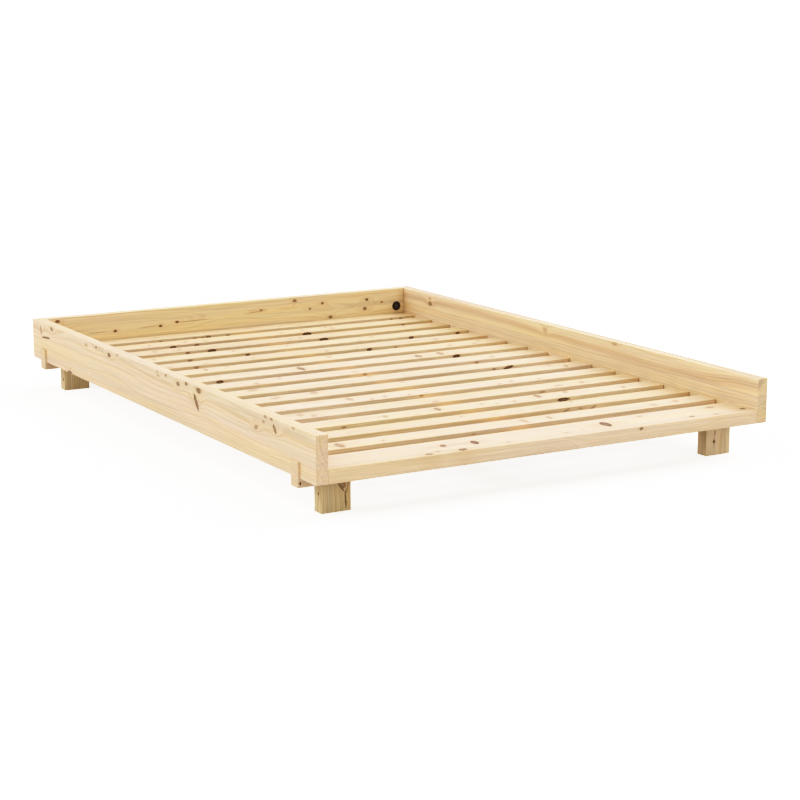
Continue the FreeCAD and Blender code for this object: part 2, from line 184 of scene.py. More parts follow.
def knot_group():
    """One branch through the board. It pushes the growth rings aside, and adds its core, rim and resin halo.
    Place is metres from the board's middle: along the grain, sideways, and along the branch."""
    tree, n, given, out = new_group(
        "pine_knot",
        [
            ("Place", "Vector", None),
            ("Centre", "Vector", None),
            ("Radius", "Float", 0.005),
            ("Stretch", "Float", 1.0),
            ("Turn", "Float", 0.0),
            ("Dark", "Float", 0.5),
            ("Reach", "Float", 1.0),
            ("Push", "Float", 0.0),
            ("Core", "Float", 0.0),
            ("Shade", "Float", 0.0),
            ("Halo", "Float", 0.0),
        ],
        [("Push", "Float"), ("Core", "Float"), ("Shade", "Float"), ("Halo", "Float")],
    )
    radius = given["Radius"]
    offset = n.vector("SUBTRACT", given["Place"], given["Centre"])
    x, y, z = n.split(offset)
    depth = n.math("ABSOLUTE", z)
    x = n.math("MULTIPLY_ADD", depth, BRANCH_LEAN, x)
    left = n.math("SUBTRACT", 1.0, n.math("DIVIDE", depth, given["Reach"]), clamp=True)
    size = n.math("MAXIMUM", n.math("MULTIPLY", radius, n.math("SQRT", left)), LEAST_RADIUS)
    cos, sin = n.math("COSINE", given["Turn"]), n.math("SINE", given["Turn"])
    ahead = n.math("ADD", n.math("MULTIPLY", x, cos), n.math("MULTIPLY", y, sin))
    aside = n.math("SUBTRACT", n.math("MULTIPLY", y, cos), n.math("MULTIPLY", x, sin))
    dx = n.math("DIVIDE", ahead, n.math("MULTIPLY", size, given["Stretch"]))
    dy = n.math("DIVIDE", aside, size)
    ragged = n.math("SUBTRACT", n.noise(given["Place"], 260.0, 3.0, 0.6), 0.5)
    d = n.math("SQRT", n.math("ADD", n.math("MULTIPLY", dx, dx), n.math("MULTIPLY", dy, dy)))
    d = n.math("MULTIPLY_ADD", ragged, 1.1, d)
    soft = n.math("MULTIPLY", n.math("SUBTRACT", 0.5, given["Dark"], clamp=True), 0.8)
    core = n.ease(d, n.math("ADD", 1.20, soft), n.math("SUBTRACT", 0.80, soft))
    rim = n.math("MULTIPLY", n.ease(d, 0.40, 0.90), core)
    eyes = n.math("SINE", n.math("MULTIPLY", d, 17.0))
    shade = n.math("MULTIPLY_ADD", rim, 0.30, n.math("MULTIPLY_ADD", eyes, 0.05, given["Dark"]))
    shade = n.math("MULTIPLY", core, shade)

    def spread(along, across):
        """A bell that fades out along and across the grain, in knot sizes."""
        a = n.math("DIVIDE", n.math("DIVIDE", x, size), along)
        b = n.math("DIVIDE", n.math("DIVIDE", y, size), across)
        squares = n.math("ADD", n.math("MULTIPLY", a, a), n.math("MULTIPLY", b, b))
        return n.math("EXPONENT", n.math("MULTIPLY", squares, -1.0))

    push = n.math("MULTIPLY", n.math("MULTIPLY", size, 1.5), spread(4.0, 2.3))
    halo = n.math("MULTIPLY", spread(4.5, 1.8), n.math("MULTIPLY_ADD", given["Dark"], 0.70, 0.25))
    n.feed(out["Push"], n.math("ADD", given["Push"], push))
    n.feed(out["Core"], n.math("MAXIMUM", given["Core"], core))
    n.feed(out["Shade"], n.math("MAXIMUM", given["Shade"], shade))
    n.feed(out["Halo"], n.math("MAXIMUM", given["Halo"], halo))
    return tree


def pine_group():
    """Solid pine: growth rings round a pith line, fibres, knots, end grain, and rounded corners painted
    paler, partly as sanded wood and partly as a painted highlight.
    Place is metres from the board's middle: along the grain, across the wide face, through the thickness."""
    tree, n, given, out = new_group(
        "pine_wood",
        [
            ("Place", "Vector", None),
            ("Normal", "Vector", None),
            ("Grain", "Vector", (1.0, 0.0, 0.0)),
            ("Seed", "Float", 0.0),
            ("Pith", "Vector", (0.0, 0.0, -0.06)),
            ("Slope", "Vector", (0.0, 0.0, 0.0)),
            ("Ring", "Float", 0.003),
            ("Contrast", "Float", 0.5),
            ("Straw", "Float", 0.5),
            ("Wander", "Float", 1.0),
            ("Tint", "Color", (1.0, 1.0, 1.0, 1.0)),
            ("Band", "Vector", (0.0, 0.004, 0.0)),
            ("Joint", "Float", -1.0),
            ("Push", "Float", 0.0),
            ("Core", "Float", 0.0),
            ("Shade", "Float", 0.0),
            ("Halo", "Float", 0.0),
        ],
        [("Colour", "Color"), ("Roughness", "Float"), ("Height", "Float")],
    )
    place = given["Place"]
    along, across, through = n.split(place)
    flat_across = across
    below = n.math("LESS_THAN", across, given["Joint"])     # the board under a glue line, from another log
    seed = n.math("MULTIPLY_ADD", below, 5.3, given["Seed"])
    shift = n.join(n.math("MULTIPLY", seed, 1.7), n.math("MULTIPLY", seed, 0.9), seed)
    spot = n.vector("ADD", place, shift)

    # growth rings: distance from a wandering pith line
    slow = n.noise(n.stretch(spot, 1.5, 5.0, 5.0), 1.0, 1.0)
    side = n.noise(n.stretch(n.vector("ADD", spot, (3.1, 7.7, 1.3)), 2.6, 6.0, 6.0), 1.0, 1.0)
    fine = n.noise(n.stretch(spot, 11.0, 60.0, 60.0), 1.0, 2.0)
    _, pith_y, pith_z = n.split(given["Pith"])
    _, slope_y, slope_z = n.split(given["Slope"])
    wander = given["Wander"]
    pith_y = n.math("MULTIPLY_ADD", below, 0.055, pith_y)
    across = n.math("SUBTRACT", across, n.math("MULTIPLY_ADD", along, slope_y, pith_y))
    through = n.math("SUBTRACT", through, n.math("MULTIPLY_ADD", along, slope_z, pith_z))
    across = n.math("ADD", across, n.math("MULTIPLY", n.math("MULTIPLY_ADD", side, 0.05, -0.025), wander))
    through = n.math("ADD", through, n.math("MULTIPLY", n.math("MULTIPLY_ADD", slow, 0.06, -0.03), wander))
    squares = n.math("ADD", n.math("MULTIPLY", across, across), n.math("MULTIPLY", through, through))
    radius = n.math("SQRT", squares)
    radius = n.math("MULTIPLY_ADD", fine, 0.0016, n.math("SUBTRACT", radius, given["Push"]))
    band_at, band_half, band_strength = n.split(given["Band"])
    beyond = n.math("ABSOLUTE", n.math("SUBTRACT", radius, band_at))
    band_outer, band_inner = n.math("MULTIPLY", band_half, 1.4), n.math("MULTIPLY", band_half, 0.6)
    stain = n.ease(beyond, band_outer, band_inner, 0.0, band_strength)
    stain = n.math("MULTIPLY", stain, n.math("SUBTRACT", 1.0, below))
    count = n.math("DIVIDE", radius, given["Ring"])
    uneven = n.noise_line(n.math("MULTIPLY_ADD", count, 0.55, given["Seed"]), 1.0)
    count = n.math("MULTIPLY_ADD", uneven, 1.8, count)
    year = n.math("FRACT", count)
    late = n.math("MULTIPLY", n.ease(year, 0.30, 0.90), n.ease(year, 1.0, 0.93))
    strength = n.noise_line(n.math("MULTIPLY_ADD", n.math("FLOOR", count), 3.7, given["Seed"]))
    late = n.math("MULTIPLY", late, n.math("MULTIPLY_ADD", strength, 1.5, 0.05), clamp=True)

    # fibres and broad streaks of tone
    fibre = n.noise(n.stretch(spot, 9.0, 520.0, 520.0), 1.0, 3.0, 0.65)
    pore = n.ease(n.noise(n.stretch(spot, 38.0, 1500.0, 1500.0), 1.0, 2.0, 0.5), 0.62, 0.78)
    streak = n.noise(n.stretch(spot, 1.4, 42.0, 42.0), 1.0, 3.0, 0.55)
    vein = n.noise(n.stretch(n.vector("ADD", spot, (5.3, 2.1, 8.4)), 3.0, 170.0, 170.0), 1.0, 3.0, 0.6)
    patch = n.noise(n.stretch(spot, 1.1, 15.0, 15.0), 1.0, 2.0, 0.5)

    straw = n.math("ADD", given["Straw"], n.math("MULTIPLY_ADD", patch, 2.6, -1.3), clamp=True)
    colour = n.mix(straw, EARLY_PINK, EARLY_STRAW)
    band = n.math("MULTIPLY", late, given["Contrast"])
    colour = n.mix(band, colour, LATE_WOOD)
    colour = n.mix(n.ease(streak, 0.40, 0.66), colour, n.mix(1.0, colour, TAN_SHADE, "MULTIPLY"))
    tone = n.math("MULTIPLY_ADD", streak, 0.50, n.math("MULTIPLY_ADD", vein, 0.42, 0.54))
    tone = n.math("MULTIPLY", tone, n.math("MULTIPLY_ADD", fibre, 0.16, 0.92))
    tone = n.math("MULTIPLY", tone, n.math("MULTIPLY_ADD", pore, -0.10, 1.0))
    tone = n.math("MULTIPLY", tone, n.math("MULTIPLY_ADD", below, -0.04, 1.0))
    seam = n.ease(n.math("ABSOLUTE", n.math("SUBTRACT", flat_across, given["Joint"])), 0.0009, 0.0003)
    tone = n.math("MULTIPLY", tone, n.math("MULTIPLY_ADD", seam, -0.22, 1.0))
    colour = n.mix(1.0, colour, n.join(tone, tone, tone), "MULTIPLY")

    colour = n.mix(1.0, colour, given["Tint"], "MULTIPLY")
    colour = n.mix(stain, colour, n.mix(1.0, colour, STAINED, "MULTIPLY"))

    # knots
    colour = n.mix(given["Halo"], colour, n.mix(0.5, RESIN, colour))
    wood_knot = n.mix(n.ease(given["Shade"], 0.15, 0.90), KNOT_LIVE, KNOT_DEAD)
    wood_knot = n.mix(n.ease(given["Shade"], 0.85, 1.10), wood_knot, BARK)
    cover = n.math("MULTIPLY", given["Core"], n.math("MULTIPLY_ADD", given["Shade"], 0.9, 0.60), clamp=True)
    colour = n.mix(cover, colour, wood_knot)

    # end grain on the sawn ends, and rounded corners painted paler: partly sanded wood, partly a painted
    # highlight on the eased edges
    facing = n.math("ABSOLUTE", n.vector("DOT_PRODUCT", given["Normal"], given["Grain"]))
    sawn = n.ease(facing, 0.75, 0.95)
    pits = n.noise(spot, 900.0, 2.0, 0.6)
    end_tone = n.math("MULTIPLY_ADD", pits, 0.18, 0.86)
    end_tint = n.join(end_tone, n.math("MULTIPLY", end_tone, 0.98), n.math("MULTIPLY", end_tone, 0.97))
    end_colour = n.mix(1.0, colour, end_tint, "MULTIPLY")
    colour = n.mix(sawn, colour, end_colour)
    # painted highlight: the rounded corners are mixed in patches towards a paler wood, partly standing for
    # sanding
    sanded_and_highlit = n.math("MULTIPLY_ADD", patch, 0.8, 0.2)
    corner = n.math("MULTIPLY", n.ease(n.flatness(given["Normal"]), 0.998, 0.80), sanded_and_highlit, clamp=True)
    colour = n.mix(n.math("MULTIPLY", corner, 0.45), colour, EDGE_HIGHLIGHT_WOOD)

    rough = n.math("MULTIPLY_ADD", fibre, 0.14, 0.50)
    rough = n.math("MULTIPLY_ADD", late, -0.10, rough)
    rough = n.math("MULTIPLY_ADD", sawn, 0.18, rough)
    rough = n.math("MULTIPLY_ADD", given["Core"], -0.10, rough)
    height = n.math("MULTIPLY_ADD", fibre, 0.35, n.math("MULTIPLY", late, 0.30))
    height = n.math("MULTIPLY_ADD", pore, -0.30, height)
    height = n.math("MULTIPLY_ADD", given["Shade"], -0.60, height)
    height = n.math("MULTIPLY_ADD", n.math("MULTIPLY", sawn, pits), 0.6, height)
    n.feed(out["Colour"], colour)
    n.feed(out["Roughness"], rough)
    n.feed(out["Height"], height)
    return tree


KNOT = knot_group()
PINE = pine_group()
AXES = {"x": 0, "y": 1, "z": 2}


class Board:
    """How one board is cut from the log: its axes, its pith line, its rings and its knots.
    axes are along the grain, across the wide face and through the thickness. pith is the middle of the log,
    across and through from the board's own middle, and slope is how far it drifts for each unit along.
    ring is the width of a year. band is a darker stripe of rings: radius, half width and strength. joint is
    where a glue line runs on the wide face, with another board below it. Sizes are millimetres."""

    def __init__(self, axes, pith, ring, contrast=0.5, straw=0.5, slope=(0.0, 0.0), wander=1.0,
                 tint=(1.0, 1.0, 1.0), band=(0, 4, 0.0), joint=-1000):
        self.axes = axes
        self.pith = pith
        self.ring = ring
        self.contrast = contrast
        self.straw = straw
        self.slope = slope
        self.wander = wander
        self.tint = tint
        self.band = band
        self.joint = joint
        self.face_knots = []
        self.edge_knots = []

    def face(self, along, across, radius, dark=0.5, stretch=1.2, turn=0, skin=0):
        """A knot on the wide faces. Places and sizes are millimetres in the row frame, turn is degrees.
        skin is how deep it goes from the high face, or from the low face if negative; 0 is right through."""
        self.face_knots.append((along, across, radius, dark, stretch, turn, skin))
        return self

    def edge(self, along, through, radius, dark=0.5, stretch=1.5, turn=0, side=-1, reach=35):
        """A knot that comes out on a narrow edge, on the low or high side, and tapers away inside."""
        self.edge_knots.append((along, through, radius, dark, stretch, turn, side, reach))
        return self


def pine_material(node, board):
    material, n, shader = new_material("pine_" + node)
    low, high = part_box(node)
    middle = (low + high) / 2
    order = [AXES[a] for a in board.axes]
    where = n.add("ShaderNodeTexCoord")
    parts = n.split(where.outputs["Object"])
    local = [n.math("SUBTRACT", parts[i], middle[i]) for i in order]
    place = n.join(*local)
    edge_place = n.join(local[0], local[2], local[1])
    state = {"Push": 0.0, "Core": 0.0, "Shade": 0.0, "Halo": 0.0}

    def add_knot(spot, centre, radius, dark, stretch, turn, reach):
        outputs = n.group(
            KNOT, Place=spot, Centre=centre, Radius=radius * MM, Stretch=stretch, Turn=math.radians(turn),
            Dark=dark, Reach=reach, **state,
        )
        for key in state:
            state[key] = outputs[key]

    for along, across, radius, dark, stretch, turn, skin in board.face_knots:
        surface = 0.0 if skin == 0 else (high if skin > 0 else low)[order[2]] - middle[order[2]]
        lean = BRANCH_LEAN * (high - low)[order[2]] / 2 if skin == 0 else 0.0
        centre = (along * MM - middle[order[0]] + lean, across * MM - middle[order[1]], surface)
        reach = THROUGH if skin == 0 else abs(skin) * MM
        add_knot(place, centre, radius, dark, stretch, turn, reach)
    for along, through, radius, dark, stretch, turn, side, reach in board.edge_knots:
        surface = (high if side > 0 else low)[order[1]] - middle[order[1]]
        centre = (along * MM - middle[order[0]], through * MM - middle[order[2]], surface)
        add_knot(edge_place, centre, radius, dark, stretch, turn, reach * MM)

    grain = [0.0, 0.0, 0.0]
    grain[order[0]] = 1.0
    wood = n.group(
        PINE, Place=place, Normal=where.outputs["Normal"], Grain=grain, Seed=rng.uniform(0, 40),
        Pith=(0.0, board.pith[0] * MM, board.pith[1] * MM), Slope=(0.0, board.slope[0], board.slope[1]),
        Ring=board.ring * MM, Contrast=board.contrast, Straw=board.straw, Wander=board.wander,
        Tint=rgb(*board.tint), Band=(board.band[0] * MM, board.band[1] * MM, board.band[2]),
        Joint=board.joint * MM - middle[order[1]], **state,
    )
    n.feed(shader.inputs["Base Color"], wood["Colour"])
    n.feed(shader.inputs["Roughness"], wood["Roughness"])
    n.feed(shader.inputs["Normal"], n.bump(wood["Height"], 0.55, 0.00035))
    shader.inputs["IOR"].default_value = 1.45
    shader.inputs["Specular IOR Level"].default_value = 0.35
    return material


def dress(node, material):
    slots = NODES[node].data.materials
    if len(slots) == 0:
        slots.append(material)
    for i in range(len(slots)):
        slots[i] = material


# Side rails: flat sawn, so the wide faces carry long wavy bands and the ends show upright lines.
left_rail = Board("yzx", (78, 150), 4.6, contrast=0.50, straw=0.25, slope=(0.004, 0.0), wander=0.7,
                  tint=(0.99, 0.98, 0.995))
for knot in (
    (945, 206, 4.5, 0.45, 3.6, 78), (899, 187, 3.4, 0.60, 12.0, -5), (842, 224, 6, 0.45, 2.0, 15, -30),
    (535, 219, 3.2, 0.30, 1.8), (449, 226, 4, 0.45, 2.0), (342, 218, 7, 0.50, 1.6),
    (276, 229, 4, 0.25, 1.8, 0, -12), (-30, 229, 3.0, 0.30, 1.8, 0, -12), (-36, 219, 4.0, 0.24, 1.8),
    (-94, 229, 4, 0.45, 1.6, 0, -12), (-180, 219, 7, 0.45, 1.6), (-237, 229, 5.5, 0.50, 1.7, 0, -14),
    (-322, 224, 8, 0.50, 1.8, 0, -26), (-304, 188, 8.5, 0.50, 3.2, 54),
    (-742, 229, 4, 0.35, 1.8, 0, -12), (-777, 229, 4, 0.35, 1.8, 0, -12), (-730, 213, 4.5, 0.25, 1.8),
    (-686, 190, 6, 0.30, 2.0, -18), (-796, 206, 6.5, 0.42, 2.2, 50),
    (-902, 229, 3.5, 0.22, 2.0, 0, -12), (687, 103, 8, 0.45, 2.2),
):
    left_rail.face(*knot)

right_rail = Board("yzx", (96, -62), 6.5, contrast=0.60, straw=0.42, slope=(0.0105, 0.002), wander=0.7,
                   tint=(0.995, 1.005, 0.985), band=(75, 9, 0.9), joint=181)
for knot in (
    (798, 200, 8, 0.45, 1.6), (800, 218, 6, 0.12, 1.5), (56, 212, 9, -0.10, 1.5, 20),
    (-333, 229, 6, 0.10, 2.2, 0, -14), (-905, 190, 5, 0.40, 1.6, 0, 14),
    (-610, 150, 8, 0.38, 1.7, 10, 16), (-240, 196, 4, 0.55, 1.5, 0, 14),
    (118, 138, 9, 0.34, 1.8, -8, 16), (402, 184, 6, 0.50, 1.5, 0, 14), (590, 122, 4, 0.45, 1.6, 0, 14),
):
    right_rail.face(*knot)

head_rail = Board("xzy", (24, 60), 3.6, contrast=0.42, straw=0.70, slope=(-0.006, 0.0),
                  tint=(0.995, 1.01, 0.985))
for knot in (
    (-664, 222, 5, 0.50, 1.8), (-455, 171, 4.5, 0.62, 1.4), (-285, 174, 4.5, 0.65, 1.4),
    (-222, 183, 4.5, 0.65, 1.5), (-158, 182, 1.8, 0.16, 34.0, 1), (-330, 175, 1.6, 0.12, 22.0, 3),
    (-520, 171, 1.6, 0.12, 22.0, 2), (84, 193, 1.8, 0.14, 22.0, 4), (108, 197, 4, 0.38, 1.4),
    (244, 221, 5.5, 0.45, 1.5), (306, 187, 4, 0.42, 1.3), (358, 203, 4.5, 0.50, 1.3),
    (392, 149, 5, 0.50, 1.6), (545, 202, 5, 0.58, 1.3), (537, 169, 7, 0.42, 1.2),
    (609, 187, 4, 0.40, 1.2), (-590, 140, 7, 0.40, 1.6, 0, 14), (-90, 150, 6, 0.45, 1.5, 0, 14),
    (215, 128, 8, 0.36, 1.7, 8, 14), (455, 214, 5, 0.50, 1.5, 0, 14),
):
    head_rail.face(*knot)

foot_board = Board("xyz", (-30, -52), 4.2, contrast=0.34, straw=0.25, slope=(0.006, 0.004), wander=1.2,
                   tint=(1.0, 1.0, 0.995))
for knot in (
    (-316, -949, 9, 0.48, 1.7, 65), (-222, -958, 11, 0.58, 2.0, 75), (215, -955, 14, 0.55, 2.1, 82),
    (-270, -951, 2.5, 0.05, 12.0), (-398, -1013, 8, 0.48, 1.4), (-293, -1012, 10, 0.55, 1.4, 20),
    (-360, -996, 5, 0.28, 1.5), (-140, -1000, 5, 0.25, 1.5), (489, -995, 7, 0.45, 1.4),
    (568, -1005, 7, 0.24, 1.4), (610, -926, 9, 0.28, 1.5), (681, -987, 8, 0.62, 1.2),
    (360, -920, 6, 0.24, 1.5), (60, -985, 5, 0.14, 1.6),
):
    foot_board.face(*knot)
foot_board.edge(286, 135, 4, 0.45, 1.6, 10)

BOARDS = {
    "side_rail_left": left_rail,
    "side_rail_right": right_rail,
    "head_rail": head_rail,
    "foot_board": foot_board,
}

# Slats: knots on the top as (along, across from the slat's front edge, radius, dark, stretch, turn), and on
# the front edge as (along, height, radius, dark, stretch, turn). Knots near the front edge stay shallow, so
# that they don't come out on it.
SHALLOW_EDGE = 22
SHALLOW = 12
SLAT_TOPS = {
    1: [(-552, 34, 12, 0.28, 2.3, 84), (-422, 26, 4, 0.12, 2.5, 60), (42, 36, 10, 0.10, 2.3, 88),
        (128, 36, 8, 0.14, 2.5, 76), (491, 26, 8, 0.12, 2.0, 88), (580, 36, 8, -0.05, 1.8, 60)],
    2: [(310, 62, 7, 0.10, 1.6, 50), (-80, 50, 5, 0.05, 2.0, 60)],
    3: [(-269, 32, 7, 0.15, 2.4, 78), (-176, 9, 4, 0.12), (-88, 42, 9, 0.38, 2.4, 80),
        (62, 38, 5, 0.12, 2.2, 70), (104, 20, 4, 0.10, 2.0, 60), (167, 24, 5, 0.10, 2.5, 55),
        (266, 48, 10, 0.36, 2.2, 82), (373, 58, 9, 0.16, 1.8, 60), (570, 28, 6, 0.20, 2.4, 60)],
    4: [(-468, 48, 9, 0.0, 2.0, 60), (-438, 20, 8, 0.02, 2.0, 60), (-37, 11, 7, 0.18, 2.0, 20),
        (505, 30, 7, 0.16, 2.4, 60), (412, 24, 10, -0.15, 2.0, 30)],
    5: [(-241, 42, 9, 0.18, 2.6, 88), (-181, 12, 6, 0.16, 1.8, 40), (-130, 24, 6, 0.16, 2.0, 70),
        (-51, 12, 5, 0.12, 1.8, 60), (4, 10, 4, 0.10), (269, 9, 6, 0.14, 1.8, 30),
        (324, 27, 6, 0.14, 2.4, 62), (421, 20, 5, 0.08, 2.2, 60)],
    6: [(-288, 54, 11, 0.12, 2.0, 60), (-422, 42, 12, -0.15, 2.0, 40), (23, 58, 6, 0.05),
        (616, 22, 8, 0.25, 2.0, 60), (570, 54, 7, 0.05, 2.0, 60)],
    7: [(-431, 54, 12, 0.10, 1.8, 30), (-23, 58, 8, 0.0), (240, 20, 4, 0.05)],
    8: [(-375, 16, 7, 0.16, 1.8, 85), (-278, 52, 5, 0.06, 2.5, 75), (496, 26, 8, 0.05, 2.0, 60),
        (-23, 24, 8, -0.10)],
    9: [(-146, 34, 10, 0.48, 2.8, 86), (290, 30, 11, 0.40, 2.1, 80), (378, 36, 11, 0.32, 2.2, 75)],
    10: [(-417, 46, 7, 0.25, 2.6, 75), (-338, 58, 6, 0.10), (28, 44, 8, 0.06, 2.4, 85),
        (487, 26, 7, 0.04, 2.4, 70), (579, 13, 6, 0.16, 2.0, 30), (616, 50, 5, 0.06, 2.5, 70)],
    11: [(-500, 14, 7, 0.05), (-375, 14, 6, 0.06), (-195, 30, 5, 0.06, 2.5, 75),
        (74, 18, 8, 0.16, 1.8, 50), (190, 18, 5, 0.06, 2.0, 50), (505, 24, 8, 0.16, 2.0, 70)],
    12: [(-491, 38, 6, 0.06, 2.4, 80), (-199, 48, 7, 0.10, 2.0, 80), (2, 48, 6, 0.06, 2.2, 60),
        (334, 48, 7, 0.06, 2.0, 80), (269, 9, 6, 0.12)],
    13: [(-431, 44, 7, 0.12, 2.4, 70), (-343, 40, 7, 0.10, 2.4, 65), (111, 32, 7, 0.12, 2.6, 62),
        (69, 26, 6, 0.05, 2.0, 60), (542, 52, 6, 0.10, 2.0, 60)],
    14: [(-403, 32, 6, 0.10, 2.4, 70), (-325, 16, 5, 0.10), (-269, 32, 6, 0.20, 2.8, 78),
        (-199, 22, 8, 0.05, 2.0, 60), (97, 24, 8, 0.05, 2.0, 60), (190, 44, 5, 0.15, 2.5, 75),
        (287, 50, 5, 0.20, 2.5, 55), (301, 26, 8, 0.10, 2.4, 75)],
    15: [(42, 50, 8, -0.05), (-320, 40, 6, 0.0)],
}
SLAT_FRONTS = {
    1: [(-150, 132, 3, 0.15, 2.4)],
    2: [(250, 133, 4, 0.28, 3.6, 22), (300, 134, 3, 0.25, 3.0, -15), (345, 131, 4, 0.32, 3.6, 25),
        (-560, 133, 7, 0.08, 2.0)],
    3: [(327, 134, 8, 0.80, 3.0), (-420, 134, 4, 0.40, 2.0)],
    4: [(336, 134, 4, 0.22, 3.0)],
    5: [(-17, 137, 4, 0.30, 2.0)],
    7: [(462, 135, 7, 0.85, 2.8, 10), (406, 134, 4, 0.50, 1.5)],
    8: [(420, 134, 5, 0.40, 1.6), (-1, 136, 5, 0.35, 1.6)],
    9: [(420, 135, 8, 0.95, 2.0), (-448, 135, 7.5, 0.82, 1.8)],
    11: [(228, 135, 7, 0.92, 1.5), (331, 134, 4, 0.35, 1.5), (-414, 135, 6, 0.45, 1.5)],
    12: [(467, 135, 7, 0.85, 1.5), (658, 135, 6, 0.80, 1.5), (-378, 134, 6, 0.50, 1.5),
         (-169, 134, 6, 0.85, 1.5)],
    13: [(-242, 134, 9, 1.0, 1.9), (-331, 134, 6.5, 0.55, 1.4), (187, 134, 9, 1.0, 1.9)],
    14: [(-329, 134, 7, 0.75, 1.8), (-241, 134, 6.5, 0.50, 1.5), (186, 135, 9.5, 1.0, 1.9),
         (581, 135, 4.5, 0.45, 1.6)],
    15: [(-139, 134, 6.5, 0.60, 1.5), (-160, 133, 4, 0.45, 1.6), (-191, 134, 4, 0.30, 1.6),
         (-320, 134, 4, 0.25, 1.6), (-62, 133, 4.5, 0.50, 1.6), (604, 134, 4.5, 0.35, 1.6),
         (645, 134, 4, 0.45, 1.6)],
}
# The front knots are drawn with these multiples of their typed radius, dark and stretch.
FRONT_RADIUS, FRONT_DARK, FRONT_STRETCH = 0.70, 0.70, 1.35
# How bright single slats are: partly random tone, partly painted shade that darkens the slats towards the
# head rail, 13 to 15 most. Each channel gets it to its own power, so that a darker slat is warmer too.
SLAT_TONE_AND_SHADE = {2: 0.965, 4: 0.97, 5: 1.02, 11: 0.94, 12: 0.97, 13: 0.89, 14: 0.91, 15: 0.92}
TINT_POWERS = (0.8, 1.0, 1.5)
FIRST_STRAW_SLAT = 12       # from this one on, they are more straw coloured
for k in range(1, 16):
    name = f"slat_{k:02d}"
    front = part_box(name)[0].y / MM
    flip = 1 if k % 3 else -1       # every third slat lies with its heart side up
    slat = Board(
        "xyz", (rng.uniform(-26, 26), flip * rng.uniform(-70, -38)), rng.uniform(2.8, 4.4),
        contrast=rng.uniform(0.28, 0.46),
        straw=rng.uniform(0.3, 0.6) + (0.15 if k >= FIRST_STRAW_SLAT else 0.0),
        slope=(rng.uniform(-0.008, 0.008), rng.uniform(-0.006, 0.006)),
        tint=[SLAT_TONE_AND_SHADE.get(k, 1.0) ** power for power in TINT_POWERS],
    )
    for along, across, radius, dark, *rest in SLAT_TOPS[k]:
        stretch, turn = rest or (1.5, 0)
        skin = SHALLOW if across < SHALLOW_EDGE else 0
        slat.face(along, front + across, radius, dark, stretch, turn, skin)
    for along, height, radius, dark, stretch, *turn in SLAT_FRONTS.get(k, []):
        slat.edge(along, height, FRONT_RADIUS * radius, FRONT_DARK * dark, FRONT_STRETCH * stretch, *turn)
    BOARDS[name] = slat

# Legs stand with the grain upright; the ledgers and the centre rail run under the slats.
LEG_LOOKS = {
    "leg_front_left": ((70, 30), 4.5, 0.85, 0.75, (0.98, 1.0, 1.01)),
    "leg_front_right": ((10, 60), 3.4, 0.45, 0.55, (1.05, 1.075, 1.07)),
    "leg_rear_left": ((-60, 14), 6.0, 0.80, 0.70, (1.02, 1.06, 1.10)),
    "leg_rear_right": ((50, -30), 4.2, 0.60, 0.55, (0.97, 0.975, 0.975)),
}
for name, (pith, ring, contrast, straw, tint) in LEG_LOOKS.items():
    BOARDS[name] = Board("zxy", pith, ring, contrast=contrast, straw=straw, wander=0.5, tint=tint)
for knot in (
    (73, -615, 8.5, 0.26, 1.4, -30), (66, -621, 2.6, 0.40, 6.5, -36), (30, -607, 2.6, 0.45, 10.0, -3),
    (62, -602, 2.2, 0.25, 7.0, 12),
):
    BOARDS["leg_front_left"].face(*knot)
for knot in (
    (41, 620, 3.6, 0.70, 1.2), (70, 623, 2.0, 0.35, 2.0), (63, 622, 1.8, 0.35, 2.0), (40, 621, 1.0, 0.2, 22),
):
    BOARDS["leg_front_right"].face(*knot)
BOARDS["leg_front_left"].edge(52, -922, 3, 0.60, 1.4)
BOARDS["leg_rear_left"].edge(36, 912, 3.5, 0.60, 1.6)
BOARDS["centre_leg"] = Board("zxy", (50, 10), 3.6, contrast=0.55, straw=0.55, wander=0.5)
for name, side in (("cross_bar_front", 1), ("cross_bar_rear", -1)):
    bar = Board("xyz", (side * 12, -64), 3.8, contrast=0.45, straw=0.35)
    for _ in range(5):
        along, height = rng.uniform(-600, 600), rng.uniform(84, 96)
        bar.edge(along, height, rng.uniform(3, 7), rng.uniform(0.3, 0.8))
    BOARDS[name] = bar
BOARDS["cross_bar_front"].edge(-740, 90, 2.2, 0.80, 2.2, 90, -1, 12)
for name in ("ledger_left", "ledger_right"):
    ledger = Board("yxz", (rng.uniform(-20, 20), -50), 3.4, contrast=0.5, straw=0.8)
    for _ in range(8):
        along, across = rng.uniform(-850, 950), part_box(name)[0].x / MM + rng.uniform(6, 24)
        ledger.face(along, across, rng.uniform(3, 6), rng.uniform(0.2, 0.8))
    BOARDS[name] = ledger
centre = Board("yxz", (14, -58), 4.0, contrast=0.5, straw=0.95, tint=(0.98, 0.86, 0.62))
for _ in range(9):
    centre.face(rng.uniform(-850, 950), rng.uniform(-26, 26), rng.uniform(3, 8), rng.uniform(0.2, 0.8))
BOARDS["centre_rail"] = centre

for name, board in BOARDS.items():
    dress(name, pine_material(name, board))


# ---------------------------------------------------------------- other materials

